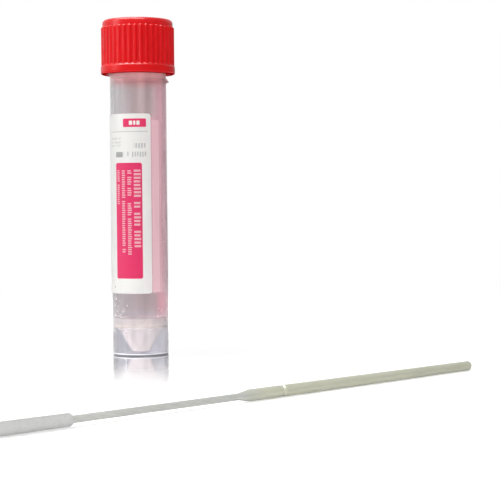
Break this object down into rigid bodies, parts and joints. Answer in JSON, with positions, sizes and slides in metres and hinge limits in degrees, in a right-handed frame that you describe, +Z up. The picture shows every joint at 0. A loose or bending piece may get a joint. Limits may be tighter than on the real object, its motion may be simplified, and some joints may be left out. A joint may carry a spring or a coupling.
{
  "type": "specimen swab tube",
  "caption": "Self-standing frosted specimen tube with a ribbed screw cap, label and conical bottom, and the flocked swab that belongs to it lying in front.",
  "frame": {"origin": "centre of the set's footprint, on the surface that the tube stands on and the swab lies on", "axes": "+Z up, along the tube's axis; -Y is the front, which the printed side of the label and the swab face; +X to the right seen from the front"},
  "size_m": [0.1072, 0.1652, 0.0961],
  "materials": {
    "tube": "frosted polypropylene",
    "cap": "satin moulded polypropylene",
    "seal": "matte silicone",
    "label": "coated paper with printed colour fields",
    "medium": "clear pale pink liquid",
    "swab_shaft": "moulded, satin",
    "swab_tip": "nylon flock"
  },
  "bodies": {
    "tube": {"tube_body": "tube", "label": "label", "medium": "medium", "swab_shaft": "swab_shaft", "swab_tip": "swab_tip"},
    "seal": {"sealing_ring": "seal"},
    "cap": {"screw_cap": "cap"}
  },
  "joints": [
    {"name": "cap_rise", "type": "slide", "parent": "tube", "child": "seal", "axis": [0, 0, 1], "range_m": [0, 0.0075]},
    {"name": "cap_turn", "type": "hinge", "parent": "seal", "child": "cap", "pos_m": [-0.03509, 0.07191, 0.088], "axis": [0, 0, 1], "range_deg": [0, 540]}
  ],
  "couplings": [
    {"joint": "cap_rise", "follows": "cap_turn", "m_per_rad": 0.00079577}
  ]
}
